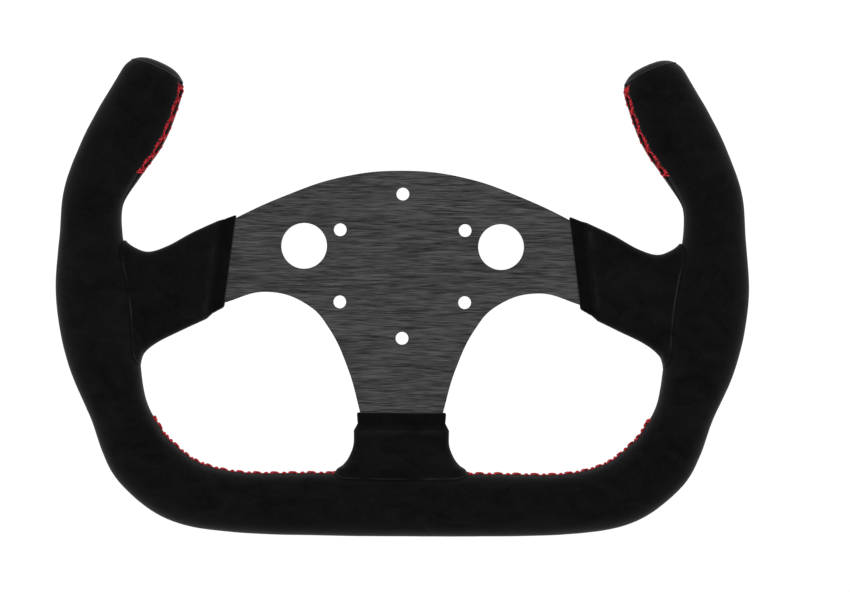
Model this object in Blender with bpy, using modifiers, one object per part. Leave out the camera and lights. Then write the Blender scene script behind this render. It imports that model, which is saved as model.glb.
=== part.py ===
"""Open-top motorsport steering wheel: a drilled aluminium spoke plate riveted into a bent tube,
moulded in polyurethane foam and covered in laced suede.

Frame: metres, +Z up, the driver looks along +Y. The origin is the centre of the six-hole circle on
the plate's rear face, which is the face that a hub or a quick-release coupling bolts to.
"""

import math

import bmesh
import bpy
from mathutils import Matrix, Vector

MM = 0.001
MERGE = 0.01 * MM  # points closer than this are one point
SMOOTH_ANGLE = math.radians(40)  # faces that meet at a smaller angle are shaded as one surface
CUTTER_OVERRUN = 5.0 * MM

# Spoke plate
PLATE_T = 5.0 * MM
BOLT_CIRCLE_R = 35.0 * MM
BOLT_HOLES = 6
BOLT_HOLE_TURN = math.radians(30)  # from +X to the first hole
BOLT_HOLE_R, BOLT_HOLE_SIDES = 3.1 * MM, 20
SWITCH_HOLE_R, SWITCH_HOLE_SIDES = 11.1 * MM, 36
SWITCH_X, SWITCH_Z = 47.8 * MM, 9.6 * MM
MID_Y = -PLATE_T / 2
OUTLINE_STEPS = 5

# Right half of the plate's outline from the crown to the bottom tab, in millimetres: x, z, smooth
# or straight at that point
PLATE_HALF = [
    (0.0, 46.3, "AUTO"),
    (30.0, 43.0, "AUTO"),
    (58.0, 33.5, "AUTO"),
    (84.0, 21.3, "AUTO"),
    (104.0, 10.0, "AUTO"),
    (124.0, 2.0, "VECTOR"),
    (155.1, 2.0, "VECTOR"),
    (152.8, -22.0, "VECTOR"),
    (124.0, -22.0, "VECTOR"),
    (104.0, -24.5, "AUTO"),
    (86.0, -18.2, "AUTO"),
    (65.5, -12.9, "AUTO"),
    (45.0, -19.7, "AUTO"),
    (35.7, -30.0, "AUTO"),
    (26.1, -50.0, "AUTO"),
    (20.4, -70.0, "AUTO"),
    (17.0, -84.0, "AUTO"),
    (14.0, -96.0, "VECTOR"),
    (14.0, -120.5, "VECTOR"),
]

# Layers of the padding, from the outside in
SUEDE_T = 1.2 * MM
GAP = 0.3 * MM
FOAM_INSET = SUEDE_T + GAP

# Bent tube inside the rim
TUBE_R = 7.0 * MM
TUBE_WALL = 1.5 * MM
TUBE_END = 16.0 * MM  # the tube stops this far below the horn's end face
TUBE_BEVEL_STEPS = 3
RIVET_R, RIVET_SIDES = 1.9 * MM, 12
RIVET_HEAD_R = 3.6 * MM
RIVET_HEAD_H = 1.8 * MM
RIVET_RIM_DROP = 1.1 * MM  # the head's rim lies this far below its crown
RIVET_CROWN_DROP = 0.35 * MM
RIVET_CROWN_SHARE = 0.6  # of the head's radius, where the crown starts to turn down
PLUG_HEAD_H = 3.0 * MM
PLUG_LENGTH, PLUG_SIDES = 10.0 * MM, 16
PLUG_ROOM = 0.4 * MM  # clearance round the plug's head, a little more than round the tube

# Rivets through the tube and the plate's tabs, and the slots for those tabs, in millimetres
SIDE_RIVETS = {"upper": (150.2, -4.0), "lower": (149.2, -15.6)}
BOTTOM_RIVET = (8.0, -116.3)
SIDE_SLOT_SIZE, SIDE_SLOT_CENTRE = (14.0, 24.0), (142.0, -10.0)
BOTTOM_SLOT_SIZE, BOTTOM_SLOT_Z = (28.0, 14.0), -109.2

# Rim from the middle of the flat bottom to the end of the right horn, in millimetres:
# centre x, centre z, width across the wheel, depth front to back
RIM_STATIONS = [
    (0.0, -116.3, 29.8, 28.0),
    (39.9, -115.9, 30.2, 28.0),
    (80.4, -115.1, 29.2, 28.0),
    (106.4, -109.4, 31.5, 29.0),
    (123.5, -96.6, 32.0, 29.0),
    (131.2, -85.2, 30.4, 28.5),
    (137.7, -69.7, 28.2, 28.0),
    (144.4, -47.0, 34.6, 29.5),
    (147.6, -26.8, 38.4, 30.0),
    (149.9, -7.3, 37.2, 30.0),
    (151.4, 14.2, 30.4, 28.5),
    (149.9, 33.9, 29.7, 28.5),
    (140.7, 52.9, 33.9, 30.6),
    (132.9, 66.0, 36.0, 30.9),
    (127.0, 77.6, 34.0, 30.9),
    (118.0, 97.8, 31.6, 29.4),
]
RINGS_PER_SPAN = 2
SECTION_POINTS = 16
SECTION_POWER = 2.15  # 2 is an ellipse, more is squarer
TIP_R, TIP_STEPS, WRAP_TIP_STEPS = 10.0 * MM, 4, 8
CAP_DEPTH = 4.0 * MM  # how far the suede cap reaches down from the horn's end

# Spoke pads, in millimetres: lower corner, upper corner, thickness, edge radius
SIDE_PAD = [
    ((86.5, -20.4), (81.0, 24.4), 8.4, 1.6),
    ((92.0, -24.0), (86.6, 22.4), 9.0, 2.0),
    ((94.5, -26.2), (89.0, 22.0), 10.6, 3.0),
    ((106.0, -31.4), (102.0, 15.9), 11.6, 4.0),
    ((118.0, -37.4), (114.0, 9.4), 13.0, 5.4),
    ((125.0, -43.4), (124.0, 6.4), 15.0, 6.8),
    ((128.5, -50.0), (133.0, 9.6), 16.6, 7.8),
    ((140.0, -56.0), (146.0, 14.0), 17.6, 8.0),
]
BOTTOM_PAD = [
    ((-21.6, -71.0), (21.6, -71.0), 8.4, 1.6),
    ((-21.9, -77.0), (21.9, -77.0), 9.0, 2.0),
    ((-22.9, -79.5), (22.9, -79.5), 10.6, 3.0),
    ((-23.3, -87.0), (23.3, -87.0), 11.6, 4.0),
    ((-25.6, -93.0), (25.6, -93.0), 12.8, 5.4),
    ((-28.2, -96.6), (28.2, -96.6), 14.0, 6.4),
    ((-31.6, -100.0), (31.6, -100.0), 15.0, 7.0),
    ((-34.0, -112.0), (34.0, -112.0), 16.0, 7.4),
]
HEM_SECTIONS = 2  # the pad's first sections are the hem, which has no foam under it
CORNER_STEPS = 3

# Lacing
LACE_GAP = 4.6 * MM
LACE_W = 3.8 * MM
LACE_T = 1.0 * MM
SEAM_GAP = 0.8 * MM
HORN_LACE = (9.0 * MM, 52.5 * MM)  # distances from the horn's end, along the rim
HORN_SEAM_TURN = math.radians(17)  # how far the horn's seam is turned towards the driver
SEAM_EASE = 30.0 * MM  # the seam turns back to the inner side over this length
LOWER_Z = -60.0 * MM  # the lower lacing lies below this height
LOWER_LACE_X = (34.5 * MM, 133.0 * MM)
BACK_SEAM_W = 2.4 * MM
BACK_SEAM_T = 0.6 * MM


def clear_scene():
    for obj in list(bpy.data.objects):
        bpy.data.objects.remove(obj)


def new_collection(name):
    made = bpy.data.collections.new(name)
    bpy.context.scene.collection.children.link(made)
    return made


def make_material(name, colour, roughness, metallic):
    material = bpy.data.materials.new(name)
    material.use_nodes = True
    shader = material.node_tree.nodes["Principled BSDF"]
    shader.inputs["Base Color"].default_value = (*colour, 1.0)
    shader.inputs["Roughness"].default_value = roughness
    shader.inputs["Metallic"].default_value = metallic
    return material


def add_object(name, data, material=None, cutter=False):
    """Links a mesh or a curve as a part, or as a hidden cutter when it has no material."""
    obj = bpy.data.objects.new(name, data)
    if cutter:
        cutters.objects.link(obj)
        obj.hide_render = True
        obj.display_type = "WIRE"
    else:
        parts.objects.link(obj)
        data.materials.append(material)
    return obj


def cut(obj, cutter):
    modifier = obj.modifiers.new("cut_" + cutter.name, "BOOLEAN")
    modifier.operation = "DIFFERENCE"
    modifier.object = cutter


def join(obj, other):
    modifier = obj.modifiers.new("join_" + other.name, "BOOLEAN")
    modifier.operation = "UNION"
    modifier.object = other


def curve_to_mesh(obj):
    """Turns a curve object into a welded mesh object, so that it can be cut or can cut."""
    graph = bpy.context.evaluated_depsgraph_get()
    mesh = bpy.data.meshes.new_from_object(obj.evaluated_get(graph))
    shape = bmesh.new()
    shape.from_mesh(mesh)
    bmesh.ops.remove_doubles(shape, verts=shape.verts, dist=MERGE)
    bmesh.ops.recalc_face_normals(shape, faces=shape.faces)
    shape.to_mesh(mesh)
    shape.free()
    name, place, hidden = obj.name, obj.matrix_world.copy(), obj.hide_render
    bpy.data.objects.remove(obj)
    made = add_object(name, mesh, mesh.materials[0] if mesh.materials else None, hidden)
    made.matrix_world = place
    return made


def loft_mesh(name, rings, close_start=True, close_end=True, closed_rings=True):
    """A skin over rings of equal length. Open ends or open rings leave a surface for Solidify."""
    shape = bmesh.new()
    rows = [[shape.verts.new(point) for point in ring] for ring in rings]
    count = len(rows[0])
    columns = count if closed_rings else count - 1
    for row, following in zip(rows, rows[1:]):
        for i in range(columns):
            k = (i + 1) % count
            shape.faces.new((row[i], row[k], following[k], following[i]))
    if close_start:
        shape.faces.new(rows[0][::-1])
    if close_end:
        shape.faces.new(rows[-1])
    bmesh.ops.recalc_face_normals(shape, faces=shape.faces)
    mesh = bpy.data.meshes.new(name)
    shape.to_mesh(mesh)
    shape.free()
    mesh.shade_smooth()
    mesh.set_sharp_from_angle(angle=SMOOTH_ANGLE)
    return mesh


def solidify(obj, thickness, even=True):
    modifier = obj.modifiers.new("thickness", "SOLIDIFY")
    modifier.thickness = thickness
    modifier.offset = -1
    modifier.use_even_offset = even


def through(values, steps):
    """A smooth line through the given rows of numbers, with the given steps in each span."""
    rows = [Vector(v) for v in values]
    before = 2 * rows[0] - rows[1]
    after = 2 * rows[-1] - rows[-2]
    padded = [before, *rows, after]
    line = []
    for a, b, c, d in zip(padded, padded[1:], padded[2:], padded[3:]):
        for k in range(steps):
            t = k / steps
            pull = (b * 2, c - a, a * 2 - b * 5 + c * 4 - d, b * 3 - a - c * 3 + d)
            line.append(sum((p * t**n for n, p in enumerate(pull)), b * 0) / 2)
    return [*line, rows[-1]]


class Section:
    """One cross-section of the rim: its centre, its inward direction, its half sizes and its place."""

    def __init__(self, row, inward, place):
        self.centre = Vector((row[0], MID_Y, row[1]))
        self.inward = inward
        self.half_w, self.half_d = row[2] / 2, row[3] / 2
        self.place = place

    def point(self, turn, inset=0.0):
        """A point of the outline, turned from the inner side towards the driver."""
        c, s = math.cos(turn), math.sin(turn)
        power = 2 / SECTION_POWER
        across = math.copysign(abs(c) ** power, c) * (self.half_w - inset)
        deep = math.copysign(abs(s) ** power, s) * (self.half_d - inset)
        return self.centre + self.inward * across + Vector((0, -deep, 0))


def rim_sections(steps=RINGS_PER_SPAN):
    """Sections from the left horn's end, round the bottom, to the right horn's end."""
    right = [tuple(v * MM for v in row) for row in RIM_STATIONS]
    left = [(-x, z, w, d) for x, z, w, d in reversed(right[1:])]
    line = through(left + right, steps)
    sections, place = [], 0.0
    for i, row in enumerate(line):
        last, following = line[max(i - 1, 0)], line[min(i + 1, len(line) - 1)]
        along = Vector((following[0] - last[0], 0, following[1] - last[1])).normalized()
        if i:
            place += (row.xy - last.xy).length
        sections.append(Section(row, Vector((-along.z, 0, along.x)), place))
    return sections


def tip_sections(section, outward, deepest, steps=TIP_STEPS):
    """The end section repeated along a quarter round of radius TIP_R, from deepest to the face."""
    start = math.asin(1 - min(deepest, TIP_R) / TIP_R)
    made = []
    for k in range(steps + 1):
        angle = start + (math.pi / 2 - start) * k / steps
        ring = Section((0, 0, 0, 0), section.inward, section.place)
        ring.centre = section.centre - outward * TIP_R * (1 - math.sin(angle))
        inset = TIP_R * (1 - math.cos(angle))
        ring.half_w, ring.half_d = section.half_w - inset, section.half_d - inset
        made.append(ring)
    return made


def full_ring(section, inset=0.0, seam=0.0):
    step = 2 * math.pi / SECTION_POINTS
    return [section.point(seam + step * i, inset) for i in range(SECTION_POINTS)]


def horn_axis(section, neighbour):
    return (section.centre - neighbour.centre).normalized()


def rim_form(name, inset):
    """The whole rim as one closed solid, inset from the suede's outer surface."""
    sections = rim_sections()
    ends = []
    for end, neighbour in ((sections[0], sections[1]), (sections[-1], sections[-2])):
        outward = horn_axis(end, neighbour)
        rings = tip_sections(end, outward, TIP_R)
        for ring in rings:
            ring.centre -= outward * inset
        ends.append(rings)
    body = [s for s in sections if TIP_R + inset < s.place < sections[-1].place - TIP_R - inset]
    for ring in ends[0] + ends[1]:
        ring.place = 0.0
    rings = ends[0][::-1] + body + ends[1]
    length = sections[-1].place
    return loft_mesh(name, [full_ring(ring, inset, seam_turn(ring, length)) for ring in rings])


def seam_turn(section, length):
    """Where the closing seam runs on the section: turned to the driver on the horns only."""
    from_end = min(section.place, length - section.place)
    start, stop = HORN_LACE[1], HORN_LACE[1] + SEAM_EASE
    share = min(max((stop - from_end) / (stop - start), 0.0), 1.0)
    return HORN_SEAM_TURN * share


def laced(section, length):
    """True where red lacing closes the seam."""
    from_end = min(section.place, length - section.place)
    on_horn = HORN_LACE[0] < from_end < HORN_LACE[1]
    low = section.centre.z < LOWER_Z
    return on_horn or (low and LOWER_LACE_X[0] < abs(section.centre.x) < LOWER_LACE_X[1])


def open_ring(section, length):
    """The suede strip across one section, from one edge of the seam round to the other."""
    gap = LACE_GAP if laced(section, length) else SEAM_GAP
    seam = seam_turn(section, length)
    half = gap / 2 / section.half_d
    step = 2 * math.pi / SECTION_POINTS
    turns = [half, *(step * i for i in range(1, SECTION_POINTS)), 2 * math.pi - half]
    return [section.point(seam + turn) for turn in turns]


def pad_rings(pad, inset, first=0):
    """Rounded rectangles between each section's corners, in the plane of those and of the wheel's axis."""
    rings = []
    for (ax, az), (bx, bz), thick, radius in pad[first:]:
        low, high = Vector((ax, 0, az)) * MM, Vector((bx, 0, bz)) * MM
        middle = (low + high) / 2 + Vector((0, MID_Y, 0))
        up = (high - low).normalized()
        front = Vector((0, -1, 0))
        half_h = (high - low).length / 2 - radius * MM
        half_t = (thick / 2 - radius) * MM
        round_r = radius * MM - inset
        ring = []
        for corner, (su, sf) in enumerate(((1, 1), (-1, 1), (-1, -1), (1, -1))):
            hub = middle + up * half_h * su + front * half_t * sf
            for k in range(CORNER_STEPS + 1):
                angle = math.pi / 2 * (corner + k / CORNER_STEPS)
                ring.append(hub + round_r * (up * math.cos(angle) + front * math.sin(angle)))
        rings.append(ring)
    return rings


def mirrored(pad):
    return [((-a[0], a[1]), (-b[0], b[1]), t, r) for a, b, t, r in pad]


def extended(rings, before):
    """The same rings with the first one repeated further out, so that a cutter passes the end."""
    step = (rings[0][0] - rings[1][0]).normalized() * before
    return [[point + step for point in rings[0]], *rings]


def add_outline(curve, points):
    spline = curve.splines.new("BEZIER")
    spline.bezier_points.add(len(points) - 1)
    spline.use_cyclic_u = True
    spline.resolution_u = OUTLINE_STEPS
    for knot, (x, z, kind) in zip(spline.bezier_points, points):
        knot.co = (x * MM, z * MM, 0)
        knot.handle_left_type = knot.handle_right_type = kind


def add_circle(curve, x, z, radius, sides):
    spline = curve.splines.new("POLY")
    spline.points.add(sides - 1)
    spline.use_cyclic_u = True
    for k, point in enumerate(spline.points):
        angle = 2 * math.pi * k / sides
        point.co = (x + radius * math.cos(angle), z + radius * math.sin(angle), 0, 1)


def plate_object(name, grow=0.0, holes=True, material=None):
    """The plate in its plane. The cutter version has no holes and is grown on every side."""
    curve = bpy.data.curves.new(name, "CURVE")
    curve.dimensions = "2D"
    curve.fill_mode = "BOTH"
    curve.extrude = PLATE_T / 2 + grow
    curve.offset = grow
    left = [(-x, z, kind) for x, z, kind in reversed(PLATE_HALF[1:])]
    add_outline(curve, PLATE_HALF + left)
    if holes:
        for k in range(BOLT_HOLES):
            angle = BOLT_HOLE_TURN + 2 * math.pi * k / BOLT_HOLES
            x, z = BOLT_CIRCLE_R * math.cos(angle), BOLT_CIRCLE_R * math.sin(angle)
            add_circle(curve, x, z, BOLT_HOLE_R, BOLT_HOLE_SIDES)
        for side in (-1, 1):
            add_circle(curve, side * SWITCH_X, SWITCH_Z, SWITCH_HOLE_R, SWITCH_HOLE_SIDES)
    obj = add_object(name, curve, material, cutter=material is None)
    obj.rotation_euler = (math.pi / 2, 0, 0)
    obj.location = (0, MID_Y, 0)
    bpy.context.view_layer.update()
    return curve_to_mesh(obj)


def tube_points(stop):
    sections = rim_sections()
    length = sections[-1].place
    return [s for s in sections if stop < s.place < length - stop]


def swept_tube(name, radius, sections, caps, material=None):
    curve = bpy.data.curves.new(name, "CURVE")
    curve.dimensions = "3D"
    curve.twist_mode = "Z_UP"
    curve.bevel_depth = radius
    curve.bevel_resolution = TUBE_BEVEL_STEPS
    curve.use_fill_caps = caps
    spline = curve.splines.new("POLY")
    spline.points.add(len(sections) - 1)
    for point, section in zip(spline.points, sections):
        point.co = (*section.centre, 1)
    obj = add_object(name, curve, material, cutter=material is None)
    bpy.context.view_layer.update()
    return curve_to_mesh(obj)


def turned(name, profile, steps, material=None):
    """A profile of radius and height turned round +Z; it runs from the top of the axis to the bottom."""
    mesh = bpy.data.meshes.new(name)
    edges = [(i, i + 1) for i in range(len(profile) - 1)]
    mesh.from_pydata([(r, 0, h) for r, h in profile], edges, [])
    obj = add_object(name, mesh, material, cutter=material is None)
    screw = obj.modifiers.new("turn", "SCREW")
    screw.steps = screw.render_steps = steps
    screw.use_merge_vertices = True
    screw.merge_threshold = MERGE
    return obj


def box_cutter(name, size, centre):
    shape = bmesh.new()
    bmesh.ops.create_cube(shape, size=1.0)
    bmesh.ops.scale(shape, vec=size, verts=shape.verts)
    mesh = bpy.data.meshes.new(name)
    shape.to_mesh(mesh)
    shape.free()
    obj = add_object(name, mesh, cutter=True)
    obj.location = centre
    return obj


def rivet_profile(grow=0.0):
    """A domed head at each end of a shank, as radius and height along the rivet."""
    seat = TUBE_R + GAP - grow
    head, shank = RIVET_HEAD_R + grow, RIVET_R + grow
    top = TUBE_R + GAP + RIVET_HEAD_H + grow
    crown = (head * RIVET_CROWN_SHARE, top - RIVET_CROWN_DROP)
    upper = [(0, top), crown, (head, top - RIVET_RIM_DROP), (head, seat), (shank, seat)]
    return upper + [(r, -h) for r, h in reversed(upper)]


def rivet_places():
    """Name and place of each rivet, on the tube's centreline where the plate's tabs enter it."""
    places = []
    for side, word in ((-1, "left"), (1, "right")):
        for height, (x, z) in SIDE_RIVETS.items():
            places.append((f"rivet_{word}_{height}", side * x * MM, z * MM))
        places.append((f"rivet_bottom_{word}", side * BOTTOM_RIVET[0] * MM, BOTTOM_RIVET[1] * MM))
    return places


def build_plate():
    plate = plate_object("spoke_plate", material=anodised)
    for name, x, z in rivet_places():
        hole = turned("hole_" + name, rivet_profile(GAP), RIVET_SIDES)
        hole.rotation_euler = (math.pi / 2, 0, 0)
        hole.location = (x, MID_Y, z)
        cut(plate, hole)
        rivet = turned(name, rivet_profile(), RIVET_SIDES, rivet_metal)
        rivet.rotation_euler = hole.rotation_euler
        rivet.location = hole.location
    return plate


def slot_cutters():
    """Slots in the tube's inner wall for the plate's three tabs."""
    thick = PLATE_T + 2 * GAP
    wide, high = SIDE_SLOT_SIZE
    x, z = SIDE_SLOT_CENTRE
    size = (wide * MM, thick, high * MM + 2 * GAP)
    slots = [box_cutter(f"slot_{side}", size, (side * x * MM, MID_Y, z * MM)) for side in (-1, 1)]
    wide, high = BOTTOM_SLOT_SIZE
    size = (wide * MM + 2 * GAP, thick, high * MM)
    return [*slots, box_cutter("slot_bottom", size, (0, MID_Y, BOTTOM_SLOT_Z * MM))]


def build_tube():
    sections = tube_points(TUBE_END)
    tube = swept_tube("rim_tube", TUBE_R, sections, False, tube_metal)
    solidify(tube, TUBE_WALL, even=False)
    for slot in slot_cutters():
        cut(tube, slot)
    for name, _, _ in rivet_places():
        cut(tube, bpy.data.objects["hole_" + name])
    plug_r = TUBE_R - TUBE_WALL - 2 * GAP
    profile = [
        (0, PLUG_HEAD_H),
        (TUBE_R - MM, PLUG_HEAD_H),
        (TUBE_R, PLUG_HEAD_H - MM),
        (TUBE_R, GAP),
        (plug_r, GAP),
        (plug_r, MM - PLUG_LENGTH),
        (plug_r - MM, -PLUG_LENGTH),
        (0, -PLUG_LENGTH),
    ]
    for side, end, neighbour in (("left", sections[0], sections[1]), ("right", sections[-1], sections[-2])):
        plug = turned(f"tube_plug_{side}", profile, PLUG_SIDES, plug_plastic)
        outward = horn_axis(end, neighbour)
        plug.rotation_euler = outward.to_track_quat("Z", "Y").to_euler()
        plug.location = end.centre
    return tube


def build_foam():
    """One moulding round the tube and the roots of the spokes."""
    foam = add_object("foam_moulding", rim_form("foam_moulding", FOAM_INSET), foam_rubber)
    pads = (("left", mirrored(SIDE_PAD)), ("right", SIDE_PAD), ("bottom", BOTTOM_PAD))
    for word, pad in pads:
        rings = pad_rings(pad, FOAM_INSET, HEM_SECTIONS)
        join(foam, add_object(f"foam_pad_{word}", loft_mesh(f"foam_pad_{word}", rings), cutter=True))
    cut(foam, swept_tube("tube_space", TUBE_R + GAP, tube_points(TUBE_END), True))
    cut(foam, plate_object("plate_space", GAP, holes=False))
    for name, _, _ in rivet_places():
        cut(foam, bpy.data.objects["hole_" + name])
    for side in ("left", "right"):
        plug = bpy.data.objects[f"tube_plug_{side}"]
        wide, top = TUBE_R + PLUG_ROOM, PLUG_HEAD_H + PLUG_ROOM
        profile = [(0, top), (wide, top), (wide, -top), (0, -top)]
        space = turned(f"plug_space_{side}", profile, PLUG_SIDES)
        space.rotation_euler, space.location = plug.rotation_euler, plug.location
        cut(foam, space)
    return foam


def build_wrap():
    """The rim's suede strip, closed along the inner side by its seam and cut out at the spokes."""
    sections = rim_sections()
    length = sections[-1].place
    body = [s for s in sections if TIP_R < s.place < length - TIP_R]
    ends = []
    for end, neighbour in ((sections[0], sections[1]), (sections[-1], sections[-2])):
        outward = horn_axis(end, neighbour)
        rings = tip_sections(end, outward, TIP_R, WRAP_TIP_STEPS)
        ends.append([r for r in rings if (end.centre - r.centre).length > CAP_DEPTH + GAP])
    rings = ends[0][::-1] + body + ends[1]
    for ring in ends[0] + ends[1]:
        ring.place = HORN_LACE[0] + MM
    strip = [open_ring(ring, length) for ring in rings]
    mesh = loft_mesh("rim_wrap", strip, False, False, closed_rings=False)
    wrap = add_object("rim_wrap", mesh, suede)
    solidify(wrap, SUEDE_T)
    return wrap


def build_caps():
    sections = rim_sections()
    for side, end, neighbour in (("left", sections[0], sections[1]), ("right", sections[-1], sections[-2])):
        outward = horn_axis(end, neighbour)
        rings = tip_sections(end, outward, CAP_DEPTH)
        rings = [full_ring(ring, 0.0, HORN_SEAM_TURN) for ring in rings]
        mesh = loft_mesh(f"end_cap_{side}", rings, close_start=False)
        solidify(add_object(f"end_cap_{side}", mesh, suede), SUEDE_T)


def build_sleeves(wrap):
    """Suede tubes over the spokes, from a hem on the plate to a seam on the rim."""
    rim_space = add_object("rim_space", rim_form("rim_space", -GAP), cutter=True)
    pads = (("left", mirrored(SIDE_PAD)), ("right", SIDE_PAD), ("bottom", BOTTOM_PAD))
    for word, pad in pads:
        rings = pad_rings(pad, 0.0)
        mesh = loft_mesh(f"spoke_sleeve_{word}", rings)
        sleeve = add_object(f"spoke_sleeve_{word}", mesh, suede)
        inner = extended(pad_rings(pad, SUEDE_T), CUTTER_OVERRUN)
        cut(sleeve, add_object(f"sleeve_space_{word}", loft_mesh(f"sleeve_space_{word}", inner), cutter=True))
        cut(sleeve, rim_space)
        root = pad_rings(pad, -GAP, HEM_SECTIONS + 1)
        cut(wrap, add_object(f"spoke_root_{word}", loft_mesh(f"spoke_root_{word}", root), cutter=True))


def lace_strip(name, chosen, length, material):
    """A flat band in the gap between the two edges of the suede, standing a little proud."""
    rings = []
    for section in chosen:
        seam = seam_turn(section, length)
        half = LACE_W / 2 / section.half_d
        outer = [section.point(seam + half * k, -GAP) for k in (-1, 0, 1)]
        inner = [section.point(seam + half * k, LACE_T - GAP) for k in (1, 0, -1)]
        rings.append(outer + inner)
    return add_object(name, loft_mesh(name, rings), material)


def build_lacing():
    sections = rim_sections()
    length = sections[-1].place
    horn = [s for s in sections if HORN_LACE[0] < s.place < HORN_LACE[1]]
    lace_strip("lacing_horn_left", horn, length, red_thread)
    horn = [s for s in sections if HORN_LACE[0] < length - s.place < HORN_LACE[1]]
    lace_strip("lacing_horn_right", horn, length, red_thread)
    low = [s for s in sections if s.centre.z < LOWER_Z and LOWER_LACE_X[0] < abs(s.centre.x) < LOWER_LACE_X[1]]
    lace_strip("lacing_lower_left", [s for s in low if s.centre.x < 0], length, red_thread)
    lace_strip("lacing_lower_right", [s for s in low if s.centre.x > 0], length, red_thread)


def build_back_seams():
    """Black seams that close the spoke sleeves behind the plate."""
    pads = (("left", mirrored(SIDE_PAD)), ("right", SIDE_PAD), ("bottom", BOTTOM_PAD))
    for word, pad in pads:
        rings = []
        for (ax, az), (bx, bz), thick, _ in pad[:-2]:
            low, high = Vector((ax, 0, az)) * MM, Vector((bx, 0, bz)) * MM
            up = (high - low).normalized() * BACK_SEAM_W / 2
            middle = (low + high) / 2
            under = MID_Y + thick / 2 * MM + GAP
            faces = ((-1, under), (1, under), (1, under + BACK_SEAM_T), (-1, under + BACK_SEAM_T))
            rings.append([middle + up * k + Vector((0, y, 0)) for k, y in faces])
        add_object(f"back_seam_{word}", loft_mesh(f"back_seam_{word}", rings), black_thread)


clear_scene()
parts = new_collection("steering_wheel")
cutters = new_collection("cutters")
anodised = make_material("black_anodised_aluminium", (0.06, 0.06, 0.062), 0.35, 1.0)
tube_metal = make_material("steel_tube", (0.35, 0.35, 0.36), 0.45, 1.0)
rivet_metal = make_material("aluminium_rivet", (0.6, 0.6, 0.62), 0.4, 1.0)
plug_plastic = make_material("black_plastic", (0.03, 0.03, 0.03), 0.5, 0.0)
foam_rubber = make_material("polyurethane_foam", (0.05, 0.05, 0.05), 0.85, 0.0)
suede = make_material("black_suede", (0.012, 0.012, 0.013), 0.95, 0.0)
red_thread = make_material("red_thread", (0.65, 0.02, 0.03), 0.6, 0.0)
black_thread = make_material("black_thread", (0.02, 0.02, 0.02), 0.7, 0.0)

build_plate()
build_tube()
build_foam()
rim_wrap = build_wrap()
build_caps()
build_sleeves(rim_wrap)
build_lacing()
build_back_seams()
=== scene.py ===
"""An open-top racing wheel: a drilled spoke plate, a moulded rim in black suede and red lacing."""

import math

import bmesh
import bpy
import numpy as np
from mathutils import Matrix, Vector, noise


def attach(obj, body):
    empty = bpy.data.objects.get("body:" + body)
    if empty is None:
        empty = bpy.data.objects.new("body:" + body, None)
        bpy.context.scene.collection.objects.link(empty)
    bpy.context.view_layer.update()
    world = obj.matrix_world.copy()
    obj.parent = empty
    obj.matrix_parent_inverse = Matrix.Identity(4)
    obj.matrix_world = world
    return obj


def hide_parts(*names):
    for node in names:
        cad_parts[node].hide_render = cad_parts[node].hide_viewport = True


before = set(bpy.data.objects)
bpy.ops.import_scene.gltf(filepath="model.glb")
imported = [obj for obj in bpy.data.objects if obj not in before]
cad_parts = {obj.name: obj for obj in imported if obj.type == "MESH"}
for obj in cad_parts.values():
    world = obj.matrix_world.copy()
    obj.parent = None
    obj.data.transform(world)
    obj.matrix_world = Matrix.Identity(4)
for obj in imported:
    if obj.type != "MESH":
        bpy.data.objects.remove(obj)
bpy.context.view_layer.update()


# --- Spoke plate -------------------------------------------------------------------------------
# One plate of 5 mm aluminium, laser cut, its edges broken, brushed from side to side and anodised
# black. Six screws of the hub pass through the ring of holes; two push buttons fill the big ones.

MM = 0.001
PLATE_T = 5.0 * MM
MID_Y = -PLATE_T / 2


class Value:
    """A socket in a finish's node tree. Sums on it add Math nodes."""

    def __init__(self, finish, socket):
        self.finish, self.socket = finish, socket

    def maths(self, operation, *terms):
        return self.finish.node("Math", {"operation": operation}, dict(enumerate(terms)))

    def __add__(self, other):
        return self.maths("ADD", self, other)

    def __sub__(self, other):
        return self.maths("SUBTRACT", self, other)

    def __rsub__(self, other):
        return self.maths("SUBTRACT", other, self)

    def __mul__(self, other):
        return self.maths("MULTIPLY", self, other)

    __radd__ = __add__
    __rmul__ = __mul__


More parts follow.
